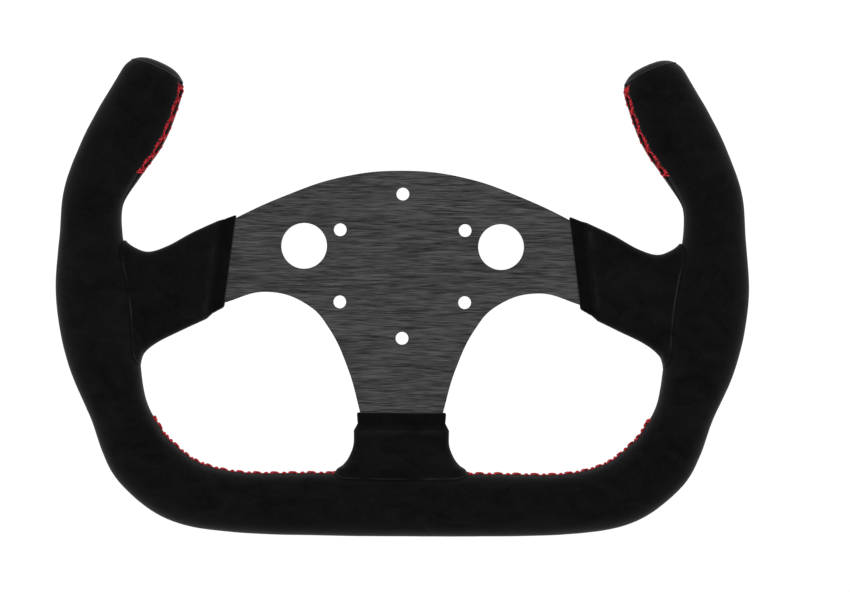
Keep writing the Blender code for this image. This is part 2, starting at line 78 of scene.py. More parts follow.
class Finish:
    """A material with one Principled shader, and the one way to add any other node."""

    def __init__(self, name, **fixed):
        self.material = bpy.data.materials.new(name)
        self.material.use_nodes = True
        self.tree = self.material.node_tree
        self.shader = self.tree.nodes["Principled BSDF"]
        for socket, value in fixed.items():
            self.shader.inputs[socket.replace("_", " ")].default_value = value

    def node(self, kind, settings=None, inputs=None, output=None):
        """A node of any kind: its settings first, then values or links for its sockets."""
        made = self.tree.nodes.new("ShaderNode" + kind)
        for name, value in (settings or {}).items():
            setattr(made, name, value)
        for name, value in (inputs or {}).items():
            if isinstance(name, int):
                socket = made.inputs[name]
            else:
                socket = next(s for s in made.inputs if s.name == name and s.enabled)
            if isinstance(value, Value):
                self.tree.links.new(value.socket, socket)
            else:
                socket.default_value = value
        if output is None:
            return Value(self, next(s for s in made.outputs if s.enabled))
        return Value(self, made.outputs[output])

    def place(self, stretch=(1, 1, 1)):
        """Where a point lies on the object, in millimetres, divided by the stretch."""
        where = self.node("TexCoord", output="Object")
        scale = tuple(1000 / part for part in stretch)
        return self.node("VectorMath", {"operation": "MULTIPLY"}, {0: where, 1: scale})

    def grain(self, size, stretch=(1, 1, 1), detail=3.0, rough=0.5, twist=0.0):
        """Soft noise from 0 to 1 with features of about the given size in millimetres."""
        inputs = {"Vector": self.place(stretch), "Scale": 1 / size, "Detail": detail}
        inputs.update({"Roughness": rough, "Distortion": twist})
        return self.node("TexNoise", None, inputs)

    def ramp(self, value, low, high):
        """Nought below low and one above high."""
        inputs = {"Value": value, "From Min": low, "From Max": high}
        return self.node("MapRange", {"clamp": True}, inputs)

    def mix(self, share, first, second):
        """One colour passing into another, each a value or its red, green and blue."""
        first, second = (c if isinstance(c, Value) else (*c, 1) for c in (first, second))
        return self.node("Mix", {"data_type": "RGBA"}, {"Factor": share, "A": first, "B": second})

    def feed(self, **sockets):
        for name, value in sockets.items():
            self.tree.links.new(value.socket, self.shader.inputs[name.replace("_", " ")])

    def bump(self, height, depth, strength=1.0):
        inputs = {"Height": height, "Distance": depth * MM, "Strength": strength}
        self.feed(Normal=self.node("Bump", None, inputs))


def brushed_black():
    """Black anodising over brush lines that run from side to side."""
    metal = Finish("brushed_black_anodising", Metallic=1.0)
    fine = metal.grain(0.34, (26, 1, 1), 2.0, 0.6)
    broad = metal.grain(1.1, (24, 1, 1), 3.0, 0.6)
    scores = metal.ramp(metal.grain(0.5, (30, 1, 1), 2.0, 0.5), 0.6, 0.7)
    lines = metal.ramp(fine * 0.66 + broad * 0.34, 0.38, 0.62)
    shade = metal.mix(lines, (0.017, 0.017, 0.0174), (0.074, 0.074, 0.0745))
    metal.feed(Base_Color=metal.mix(scores * 0.7, shade, (0.02, 0.02, 0.021)))
    metal.feed(Roughness=0.3 + lines * 0.14 + scores * 0.1)
    metal.bump(fine * 0.7 + broad * 0.3 - scores * 0.5, 0.02, 0.5)
    return metal.material


# The right half of the outline, x and z in millimetres, curved or straight at each point
PLATE_HALF = [
    (0.0, 46.3, "AUTO"),
    (30.0, 43.0, "AUTO"),
    (58.0, 33.5, "AUTO"),
    (84.0, 21.3, "AUTO"),
    (104.0, 10.0, "AUTO"),
    (124.0, 2.0, "VECTOR"),
    (155.1, 2.0, "VECTOR"),
    (152.8, -22.0, "VECTOR"),
    (124.0, -22.0, "VECTOR"),
    (104.0, -24.5, "AUTO"),
    (86.0, -18.2, "AUTO"),
    (65.5, -12.9, "AUTO"),
    (45.0, -19.7, "AUTO"),
    (35.7, -30.0, "AUTO"),
    (26.1, -50.0, "AUTO"),
    (20.4, -70.0, "AUTO"),
    (17.0, -84.0, "AUTO"),
    (14.0, -96.0, "VECTOR"),
    (14.0, -120.5, "VECTOR"),
]
BOLT_CIRCLE_R, BOLT_HOLE_R = 35, 3.1
BOLT_TURNS = [math.radians(turn) for turn in range(30, 390, 60)]
SWITCH_X, SWITCH_Z, SWITCH_HOLE_R = 47.8, 9.6, 11.1
BOLT_SIDES, SWITCH_SIDES = 48, 96
HOLES = [
    (BOLT_CIRCLE_R * math.cos(turn), BOLT_CIRCLE_R * math.sin(turn), BOLT_HOLE_R, BOLT_SIDES)
    for turn in BOLT_TURNS
]
HOLES += [(x, SWITCH_Z, SWITCH_HOLE_R, SWITCH_SIDES) for x in (-SWITCH_X, SWITCH_X)]
CURVE_STEPS = 14
OUTLINE_WELD = 0.01 * MM
BROKEN_EDGE = 0.35 * MM
SHARP_TURN = math.radians(50)


def spoke_plate():
    """The plate as one flat curve with its holes, given its thickness and stood upright."""
    curve = bpy.data.curves.new("plate_outline", "CURVE")
    curve.dimensions, curve.fill_mode = "2D", "BOTH"
    curve.extrude = PLATE_T / 2
    edge = PLATE_HALF + [(-x, z, kind) for x, z, kind in PLATE_HALF[:0:-1]]
    spline = curve.splines.new("BEZIER")
    spline.bezier_points.add(len(edge) - 1)
    spline.use_cyclic_u, spline.resolution_u = True, CURVE_STEPS
    for knot, (x, z, kind) in zip(spline.bezier_points, edge):
        knot.co = (x * MM, z * MM, 0)
        knot.handle_left_type = knot.handle_right_type = kind
    for x, z, radius, sides in HOLES:
        ring = curve.splines.new("POLY")
        ring.points.add(sides - 1)
        ring.use_cyclic_u = True
        for k, point in enumerate(ring.points):
            turn = 2 * math.pi * k / sides
            point.co = ((x + radius * math.cos(turn)) * MM, (z + radius * math.sin(turn)) * MM, 0, 1)
    outline = bpy.data.objects.new("plate_outline", curve)
    bpy.context.scene.collection.objects.link(outline)
    graph = bpy.context.evaluated_depsgraph_get()
    mesh = bpy.data.meshes.new_from_object(outline.evaluated_get(graph))
    bpy.data.objects.remove(outline)
    shape = bmesh.new()
    shape.from_mesh(mesh)
    bmesh.ops.remove_doubles(shape, verts=shape.verts, dist=OUTLINE_WELD)
    for vert in shape.verts:
        x, z, y = vert.co
        vert.co = (x, MID_Y - y, z)
    bmesh.ops.recalc_face_normals(shape, faces=shape.faces)
    shape.to_mesh(mesh)
    shape.free()
    plate = bpy.data.objects.new("brushed_spoke_plate", mesh)
    bpy.context.scene.collection.objects.link(plate)
    mesh.shade_smooth()
    broken = plate.modifiers.new("broken_edges", "BEVEL")
    broken.width, broken.segments = BROKEN_EDGE, 2
    broken.limit_method, broken.angle_limit = "ANGLE", SHARP_TURN
    broken.harden_normals = True
    mesh.materials.append(brushed_black())
    return plate


plate = spoke_plate()
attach(plate, "root")
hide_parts("spoke_plate")


# --- Tube, rivets and plugs --------------------------------------------------------------------
# A drawn steel tube bent to the rim's line, with solid rivets through it and the plate's tabs and
# a moulded plug in each end. They are buried in the foam, and keep their plain working finishes.

steel = Finish("drawn_steel", Metallic=1.0)
drawn = steel.grain(0.4, (1, 1, 12), 3.0)
steel.feed(Base_Color=steel.mix(drawn, (0.28, 0.28, 0.29), (0.42, 0.42, 0.42)))
steel.feed(Roughness=0.35 + drawn * 0.2)
bright = Finish("bare_aluminium", Metallic=1.0)
dull = bright.grain(0.6, detail=2.0)
bright.feed(Base_Color=bright.mix(dull, (0.5, 0.5, 0.52), (0.65, 0.65, 0.66)))
bright.feed(Roughness=0.3 + dull * 0.2)
black_plastic = Finish("black_moulding")
spark = black_plastic.grain(0.25, detail=2.0)
dark, pale_black = (0.02, 0.02, 0.02), (0.035, 0.035, 0.035)
black_plastic.feed(Base_Color=black_plastic.mix(spark, dark, pale_black))
black_plastic.feed(Roughness=0.45 + spark * 0.15)
foam = Finish("moulded_foam")
cells = foam.grain(0.8, detail=4.0)
foam.feed(Base_Color=foam.mix(cells, (0.03, 0.03, 0.03), (0.06, 0.06, 0.06)))
foam.feed(Roughness=0.75 + cells * 0.2)
foam.bump(cells, 0.15)


def finish_node(node, finish):
    """Gives one of the frame's own solids its material."""
    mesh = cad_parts[node].data
    mesh.materials.clear()
    mesh.materials.append(finish.material)


finish_node("rim_tube", steel)
finish_node("foam_moulding", foam)
for side in ("left", "right"):
    finish_node("tube_plug_" + side, black_plastic)
    finish_node("rivet_bottom_" + side, bright)
    for height in ("upper", "lower"):
        finish_node(f"rivet_{side}_{height}", bright)


# --- Rim wrap ----------------------------------------------------------------------------------
# Black suede, cut as one long strip, stretched over the moulded rim and glued down. Its two edges
# are folded and meet along the inner side, where the lacing draws them together.

# Centre x and z, width and depth in millimetres, from the bottom's middle to the right horn's end
RIM_HALF = [
    (0.0, -116.3, 29.8, 28.0),
    (39.9, -115.9, 30.2, 28.0),
    (80.4, -115.1, 29.2, 28.0),
    (106.4, -109.4, 31.5, 29.0),
    (123.5, -96.6, 32.0, 29.0),
    (131.2, -85.2, 30.4, 28.5),
    (137.7, -69.7, 28.2, 28.0),
    (144.4, -47.0, 34.6, 29.5),
    (147.6, -26.8, 38.4, 30.0),
    (149.9, -7.3, 37.2, 30.0),
    (151.4, 14.2, 30.4, 28.5),
    (149.9, 33.9, 29.7, 28.5),
    (140.7, 52.9, 33.9, 30.6),
    (132.9, 66.0, 36.0, 30.9),
    (127.0, 77.6, 34.4, 30.9),
    (118.0, 97.8, 29.4, 29.4),
]
RIM_POWER = 2.15
RIM_STEP = 2.0
SECTION_TURNS = 721
# The seam turns towards the driver on the horns, over a stretch below their lacing
HORN_SEAM_TURN, SEAM_EASE = math.radians(21.5), 30
# The laced stretches, from each end of the rim's line and from the middle, and how they fade out
HORN_LACE = (5.6, 52.0)
LOWER_LACE_X, LOWER_Z = (31.5, 134.0), -60
LACE_FADE = 2.5
DOME_H, DOME_POWER, DOME_RISE = 11.6, 2.6, 0.45
WRAP_END, WRAP_STEP, DOME_ROWS = 0.8, 1.9, 12
SKIN_WELD = 0.002 * MM


def suede():
    """Napped black suede: short fibres brushed this way and that, with painted highlights along seams
    and edges and painted shade by the sleeves' hems.
    """
    hide = Finish("black_suede", Roughness=0.95, Sheen_Weight=0.095, Sheen_Roughness=0.42)
    hide.shader.inputs["Specular IOR Level"].default_value = 0.02
    fibre = hide.grain(0.35, detail=4.0, rough=0.75)
    tufts = hide.grain(1.3, detail=3.0, rough=0.6, twist=0.8)
    strokes = hide.grain(11.0, (1.6, 1, 1), 4.0, 0.6, 1.2)
    nap = hide.ramp(fibre * 0.4 + tufts * 0.22 + strokes * 0.38, 0.36, 0.64)
    plain = hide.mix(nap, (0.0009, 0.0009, 0.00094), (0.0053, 0.0053, 0.0055))
    # Two shares set on the meshes: one paints a highlight with lighter suede, the other paints shade
    # with darker suede.
    rubbed = hide.node("Attribute", {"attribute_name": "rubbed"}, output="Fac")
    pressed = hide.node("Attribute", {"attribute_name": "pressed"}, output="Fac")
    # Painted shade: the colour goes towards near black where the hem share is set, by the sleeves' hems
    # at the plate.
    flat = hide.mix(pressed, plain, (0.0004, 0.0004, 0.00042))
    # Painted highlight: the colour goes towards grey where the highlight share is set, along the seam
    # lips, the welts and the caps' edges.
    hide.feed(Base_Color=hide.mix(rubbed * (0.35 + nap * 0.65), flat, (0.034, 0.034, 0.035)))
    hide.bump(fibre * 0.6 + tufts * 0.4, 0.16, 0.7)
    return hide.material


black_suede = suede()


def smooth_line(rows, step):
    """A smooth line through rows of numbers, with a row about every step along its first two."""
    rows = np.array(rows, float)
    ends = [2 * rows[0] - rows[1]], [2 * rows[-1] - rows[-2]]
    rows = np.vstack([ends[0], rows, ends[1]])
    line = []
    for a, b, c, d in zip(rows, rows[1:], rows[2:], rows[3:]):
        count = max(1, round(np.linalg.norm(c[:2] - b[:2]) / step))
        bend, twist = a * 2 - b * 5 + c * 4 - d, b * 3 - a - c * 3 + d
        for t in np.arange(count) / count:
            line.append((b * 2 + (c - a) * t + bend * t**2 + twist * t**3) / 2)
    return np.array([*line, rows[-2]])


class Rim:
    """The rim's line from the left horn's end to the right one's, with its sizes and directions."""

    def __init__(self, step):
        left = [(-x, z, w, d) for x, z, w, d in RIM_HALF[:0:-1]]
        line = smooth_line(left + RIM_HALF, step)
        self.x, self.z = line[:, 0], line[:, 1]
        self.half_w, self.half_d = line[:, 2] / 2, line[:, 3] / 2
        self.along = np.gradient(line[:, :2], axis=0)
        self.along /= np.linalg.norm(self.along, axis=1)[:, None]
        self.inward = np.stack([-self.along[:, 1], self.along[:, 0]], axis=1)
        steps = np.linalg.norm(np.diff(line[:, :2], axis=0), axis=1)
        self.place = np.concatenate([[0], np.cumsum(steps)])
        self.length = self.place[-1]

    def at(self, place):
        """Centre, inward direction and half sizes at any distance along the rim."""

        def pick(values):
            return np.interp(place, self.place, values)

        centre = np.array([pick(self.x), pick(self.z)])
        inward = np.array([pick(self.inward[:, 0]), pick(self.inward[:, 1])])
        return centre, inward / np.linalg.norm(inward), pick(self.half_w), pick(self.half_d)

    def seam_turn(self, place):
        """The seam lies on the inner side, and turns towards the driver on the horns."""
        from_end = np.minimum(place, self.length - place)
        return HORN_SEAM_TURN * np.clip((HORN_LACE[1] + SEAM_EASE - from_end) / SEAM_EASE, 0, 1)


def oval(half_w, half_d, turn, lift=0.0):
    """Across and deep on the rim's oval section, lifted off its surface."""
    c, s = np.cos(turn), np.sin(turn)
    across = np.sign(c) * np.abs(c) ** (2 / RIM_POWER) * half_w
    deep = np.sign(s) * np.abs(s) ** (2 / RIM_POWER) * half_d
    na = np.sign(c) * (np.abs(across) / half_w) ** (RIM_POWER - 1) / half_w
    nd = np.sign(s) * (np.abs(deep) / half_d) ** (RIM_POWER - 1) / half_d
    size = np.hypot(na, nd)
    return across + na / size * lift, deep + nd / size * lift


def round_section(half_w, half_d, seam):
    """Turns all round a section and how far each lies from the seam, back side negative."""
    turns = np.linspace(-math.pi, math.pi, SECTION_TURNS) + seam
    across, deep = oval(half_w, half_d, turns)
    run = np.concatenate([[0], np.cumsum(np.hypot(np.diff(across), np.diff(deep)))])
    return turns, run - np.interp(seam, turns, run)


def skin(name, rows, end_cap=False, **shares):
    """A mesh over closed rows of points, with any shares, such as where a highlight is painted on its
    nap.
    """
    rows = np.array(rows)
    count, width = rows.shape[:2]
    mesh = bpy.data.meshes.new(name)
    faces = []
    for i in range(count - 1):
        for j in range(width):
            k = (j + 1) % width
            faces.append((i * width + j, i * width + k, (i + 1) * width + k, (i + 1) * width + j))
    if end_cap:
        faces.append(tuple(range((count - 1) * width, count * width)))
    mesh.from_pydata(rows.reshape(-1, 3).tolist(), [], faces)
    for share, values in shares.items():
        attribute = mesh.attributes.new(share, "FLOAT", "POINT")
        attribute.data.foreach_set("value", np.clip(values, 0, 1).ravel())
    shape = bmesh.new()
    shape.from_mesh(mesh)
    bmesh.ops.remove_doubles(shape, verts=shape.verts, dist=SKIN_WELD)
    bmesh.ops.recalc_face_normals(shape, faces=shape.faces)
    shape.to_mesh(mesh)
    shape.free()
    mesh.shade_smooth()
    piece = bpy.data.objects.new(name, mesh)
    bpy.context.scene.collection.objects.link(piece)
    return piece


def ripple(point, size, seed=0.0):
    """Gentle unevenness of about the given size in millimetres, from -1 to 1."""
    return noise.noise(Vector((point[0], point[1] + seed, point[2])) / (size * MM))


rim = Rim(RIM_STEP)


def laced(place):
    """One where lacing closes the seam, falling to nought within a few millimetres of its ends."""
    from_end = min(place, rim.length - place)
    centre = rim.at(place)[0]
    horn = min(from_end - HORN_LACE[0], HORN_LACE[1] - from_end)
    low = -LACE_FADE
    if centre[1] < LOWER_Z:
        low = min(abs(centre[0]) - LOWER_LACE_X[0], LOWER_LACE_X[1] - abs(centre[0]))
    return float(np.clip(max(horn, low) / LACE_FADE + 0.5, 0, 1))


def swell(span, height, middle, spread):
    """A smooth rise in the suede, as high as height, on both sides of a seam."""
    return height * np.exp(-(((np.abs(span) - middle) / spread) ** 2))


def seam_lift(span, lace):
    """Height of the suede across the seam: two folded edges and the groove between them."""
    open_seam = swell(span, 0.3, 2.3, 0.8) - swell(span, 1.1, 0.0, 1.05)
    shut_seam = swell(span, 0.12, 1.1, 0.7) - swell(span, 0.5, 0.0, 0.45)
    return open_seam * lace + shut_seam * (1 - lace)


LIP_SPANS = np.arange(-5.2, 5.21, 0.4)
REST_COLUMNS = 27
BASE = DOME_H - DOME_RISE


def section_at(place):
    """Centre, inward direction and half sizes, drawn in over the domed ends of the horns."""
    from_end = min(place, rim.length - place)
    centre, inward, half_w, half_d = rim.at(np.clip(place, 0, rim.length))
    height = max(BASE - from_end, 0.0)
    shrink = max(1 - (height / DOME_H) ** DOME_POWER, 0.0) ** (1 / DOME_POWER)
    if from_end < 0:
        end = 0 if place < 0 else -1
        centre = centre + rim.along[end] * (from_end if end == 0 else -from_end)
    return centre, inward, half_w * shrink, half_d * shrink


def on_rim(place, spans, lifts):
    """Points in metres on the rim's skin, spans measured across the seam and lifts off the skin."""
    centre, inward, half_w, half_d = section_at(place)
    turns, run = round_section(half_w, half_d, float(rim.seam_turn(np.clip(place, 0, rim.length))))
    across, deep = oval(half_w, half_d, np.interp(spans, run, turns), lifts)
    x, z = centre[0] + inward[0] * across, centre[1] + inward[1] * across
    return np.stack([x * MM, MID_Y - deep * MM, z * MM], axis=-1)


def columns_at(place):
    """Close columns by the seam, wider ones round the rest of the section."""
    _, _, half_w, half_d = section_at(place)
    _, run = round_section(half_w, half_d, float(rim.seam_turn(np.clip(place, 0, rim.length))))
    front = np.linspace(LIP_SPANS[-1], run[-1], REST_COLUMNS + 2)[1:-1]
    back = np.linspace(run[0], LIP_SPANS[0], REST_COLUMNS + 2)[:-1]
    return np.concatenate([back, LIP_SPANS, front])


def uneven(rows, amount, size):
    """The suede's slight unevenness over the foam, as much as amount in millimetres."""
    rows = np.array(rows)
    away = rows - rows.mean(axis=1, keepdims=True)
    away /= np.linalg.norm(away, axis=2, keepdims=True) + 1e-9
    lifts = [[ripple(p, size) * 0.7 + ripple(p, size * 0.4, 1.0) * 0.3 for p in row] for row in rows]
    return rows + away * np.array(lifts)[:, :, None] * amount * MM


def wrap_row(place):
    """A ring of the rim wrap, from one side of its seam round to the other."""
    spans = columns_at(place)
    return on_rim(place, spans, seam_lift(spans, laced(place)))


dome_places = np.linspace(WRAP_END, BASE, DOME_ROWS)[:-1]
wrap_places = np.concatenate([dome_places, np.arange(BASE, rim.length / 2, WRAP_STEP)])
wrap_places = np.concatenate([wrap_places, rim.length - wrap_places[::-1]])
wrap_skin = uneven([wrap_row(place) for place in wrap_places], 0.16, 16)
# Painted highlight: the suede is coloured lighter along both folded edges of the seam, where light would
# catch the nap.
lip_highlights = [swell(columns_at(place), 0.35, 2.2, 0.9) for place in wrap_places]
wrap = skin("suede_rim_wrap", wrap_skin, rubbed=lip_highlights)
wrap.data.materials.append(black_suede)
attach(wrap, "root")
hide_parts("rim_wrap")


# --- End caps ----------------------------------------------------------------------------------
# A disc of the same suede over each horn's end, its edge turned under and glued down over the
# edge of the rim wrap, which leaves a fine raised line round the horn.

CAP_EDGE, CAP_BOW = 4.4, 1.6
CAP_LIP, CAP_SKIN = 0.28, 0.15


def cap_row(down, lift):
    """A row round the horn, down from the cap's edge towards the tip, bowed over the faces."""
    row = []
    columns = columns_at(CAP_EDGE)
    bow = np.abs(on_rim(CAP_EDGE, columns, 0.0)[:, 1] - MID_Y)
    for column, face in zip(columns, bow / bow.max()):
        edge = CAP_EDGE - CAP_BOW * face**2
        place = edge - down * (edge + DOME_RISE - 0.03)
        end = -1 if column > 0 else 0
        span = column / columns[end] * columns_at(place)[end]
        row.append(on_rim(place, np.array([span]), lift)[0])
    return row


def cap_rows():
    """Rows from the cap's turned edge up to the middle of the dome, on the left horn."""
    rows = [cap_row(0.0, -0.8), cap_row(0.01, CAP_SKIN + CAP_LIP * 0.5)]
    for down in (0.05, 0.1, 0.16, 0.24, 0.34):
        rows.append(cap_row(down, CAP_SKIN + swell(down, CAP_LIP, 0.09, 0.11)))
    for down in np.linspace(0.42, 1.0, 12):
        rows.append(cap_row(down, CAP_SKIN))
    return rows


left_cap = uneven(cap_rows(), 0.1, 9)
# Painted highlight: a broken lighter line is coloured along the cap's turned lip.
cap_highlight = np.zeros(left_cap.shape[:2])
lip_rows = slice(1, 5)
cap_highlight[lip_rows] = [[min(0.3 + abs(ripple(p, 5, 4.0)), 1) for p in row] for row in left_cap[lip_rows]]
for side, turn in (("left", 1), ("right", -1)):
    cap_skin = left_cap * np.array([turn, 1, 1])
    cap = skin("suede_end_cap_" + side, cap_skin, end_cap=True, rubbed=cap_highlight)
    cap.data.materials.append(black_suede)
    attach(cap, "root")
    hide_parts("end_cap_" + side)


# --- Spoke sleeves -----------------------------------------------------------------------------
# Suede tubes over the padded roots of the spokes. The plate end is a flat turned hem; behind it the
# foam fills the sleeve, which widens to the rim and is sewn to the rim wrap by a fine welt.

# Lower corner, upper corner, thickness, edge radius and crown of each section, in millimetres
SIDE_PAD = [
    (86.6, -20.5, 80.9, 24.5, 8.4, 1.3, 0.0),
    (92.2, -23.6, 86.6, 22.3, 8.8, 1.6, 0.1),
    (95.0, -26.2, 89.4, 21.6, 10.8, 3.4, 0.8),
    (106.0, -31.4, 102.0, 15.8, 11.8, 4.4, 1.1),
    (118.0, -37.3, 114.0, 9.2, 13.0, 5.4, 0.9),
    (125.0, -43.0, 124.0, 6.3, 14.6, 6.6, 0.5),
    (128.5, -50.0, 133.0, 9.6, 16.0, 7.6, 0.2),
    (140.0, -56.0, 146.0, 14.0, 17.6, 8.0, 0.0),
]
BOTTOM_PAD = [
    (-21.7, -71.2, 21.7, -71.2, 8.4, 1.3, 0.0),
    (-21.3, -76.4, 21.3, -76.4, 8.8, 1.6, 0.1),
    (-23.1, -79.8, 23.1, -79.8, 10.8, 3.4, 0.8),
    (-23.3, -87.0, 23.3, -87.0, 11.8, 4.4, 1.0),
    (-25.6, -93.0, 25.6, -93.0, 12.8, 5.4, 0.8),
    (-28.4, -96.6, 28.4, -96.6, 14.0, 6.4, 0.5),
    (-32.2, -100.0, 32.2, -100.0, 15.0, 7.0, 0.2),
    (-36.0, -112.0, 36.0, -112.0, 16.0, 7.4, 0.0),
]
SKIN_T = 1.2
FACE_STEPS = np.linspace(-1, 1, 27)[1:-1]
BACK_FACE_STEPS = 10
BACK_SPANS = np.array([-3.2, -2.2, -1.6, -1.1, -0.7, -0.35, 0, 0.35, 0.7, 1.1, 1.6, 2.2, 3.2])
EDGE_STEPS = np.linspace(-1, 1, 5)[1:-1]
CORNER_TURNS = np.linspace(0, math.pi / 2, 9)
# How far the skin is drawn into the rim, how wide it curves on to it, and more at the upper edges
SEWN_IN = -0.6
FILLET = 3.5
CORNERS = {"right": 5.0, "left": 5.0, "bottom": 0.0}
NEWTON_STEPS = 10
DRAWN_ROWS, DRAWN_EASE = 52, 1.6
BODY_STEP = 1.2


def pad_ring(section, inset=0.0):
    """Points round a padded section: upper corner, front face, lower edge, back face, upper edge."""
    low, high = section[0:2], section[2:4]
    half_h, half_t = np.hypot(*(high - low)) / 2 - inset, section[4] / 2 - inset
    radius = max(section[5] - inset, 0.25)
    flat_h, flat_t = half_h - radius, half_t - radius
    outer = FACE_STEPS[:BACK_FACE_STEPS] * flat_h, FACE_STEPS[-BACK_FACE_STEPS:] * flat_h
    back = np.concatenate([outer[0], BACK_SPANS, outer[1]])
    straights = [
        [(-h * flat_h, half_t) for h in FACE_STEPS],
        [(-half_h, -t * flat_t) for t in EDGE_STEPS],
        [(h, -half_t) for h in back],
        [(half_h, t * flat_t) for t in EDGE_STEPS],
    ]
    ring = []
    for k, (up, out) in enumerate(((1, 1), (-1, 1), (-1, -1), (1, -1))):
        for turn in CORNER_TURNS + k * math.pi / 2:
            h, t = radius * math.cos(turn), radius * math.sin(turn)
            ring.append((up * flat_h + h, out * flat_t + t))
        ring += straights[k]
    ring = np.array(ring)
    seam = swell(ring[:, 0], 0.18, 1.2, 0.7) - swell(ring[:, 0], 0.5, 0.0, 0.45)
    crown = section[6] * (1 - (ring[:, 0] / half_h) ** 2)
    ring[:, 1] += np.sign(ring[:, 1]) * np.abs(ring[:, 1] / half_t) ** 3 * crown
    ring[:, 1] -= np.where(ring[:, 1] < 0, seam, 0) if inset == 0 else 0
    middle, upward = (low + high) / 2, (high - low) / np.hypot(*(high - low))
    flat = middle + upward * ring[:, :1]
    return np.stack([flat[:, 0], -ring[:, 1], flat[:, 1]], axis=-1)


def rim_depth(points):
    """How far points in millimetres from the rim's middle plane lie outside the rim, and the way out."""
    flat = points[:, [0, 2]]
    line = np.stack([rim.x, rim.z], axis=1)
    nearest = ((flat[:, None] - line[None]) ** 2).sum(axis=2).argmin(axis=1)
    place = rim.place[nearest] + ((flat - line[nearest]) * rim.along[nearest]).sum(axis=1)
    known = rim.x, rim.z, *rim.inward.T, rim.half_w, rim.half_d
    pick = [np.interp(place, rim.place, values) for values in known]
    centre, inward, half_w, half_d = np.stack(pick[:2], 1), np.stack(pick[2:4], 1), pick[4], pick[5]
    inward /= np.linalg.norm(inward, axis=1)[:, None]
    across, deep = ((flat - centre) * inward).sum(axis=1), -points[:, 1]
    a, d = np.abs(across) / half_w, np.abs(deep) / half_d
    size = np.maximum(a**RIM_POWER + d**RIM_POWER, 1e-6) ** (1 / RIM_POWER)
    ga = np.sign(across) * (a / size) ** (RIM_POWER - 1) / half_w
    gd = np.sign(deep) * (d / size) ** (RIM_POWER - 1) / half_d
    steep = np.maximum(np.hypot(ga, gd), 1e-6)
    out = np.stack([inward[:, 0] * ga, -gd, inward[:, 1] * ga], axis=1) / steep[:, None]
    return (size - 1) / steep, out


def outward_normals(grid):
    """Unit normals of a grid of points whose rows are closed rings."""
    around = np.roll(grid, -1, axis=1) - np.roll(grid, 1, axis=1)
    onward = np.gradient(grid, axis=0)
    normal = np.cross(around, onward)
    normal /= np.linalg.norm(normal, axis=2, keepdims=True) + 1e-9
    away = grid - grid.mean(axis=1, keepdims=True)
    return normal * np.sign((normal * away).sum(axis=2).mean())


def faired(grid, normal, corner):
    """The skin drawn smoothly off the spoke's pad and on to the rim, its upper edge in a wider curve."""
    start, way = grid.reshape(-1, 3), normal.reshape(-1, 3)
    blend = 1.0 + (FILLET - 1.0) * np.abs(way[:, 1]) + corner * np.maximum(way[:, 2], 0) ** 2
    point = start.copy()
    for _ in range(NEWTON_STEPS):
        a, na = rim_depth(point)
        b = ((point - start) * way).sum(axis=1)
        h = np.maximum(blend - np.abs(a - b), 0) / blend
        both = np.minimum(a, b) - h * h * blend / 4
        share = np.where(a < b, 1 - h / 2, h / 2)[:, None]
        slope = na * share + way * (1 - share)
        point = point - slope * (both / np.maximum((slope**2).sum(axis=1), 0.05))[:, None]
    return point.reshape(grid.shape)


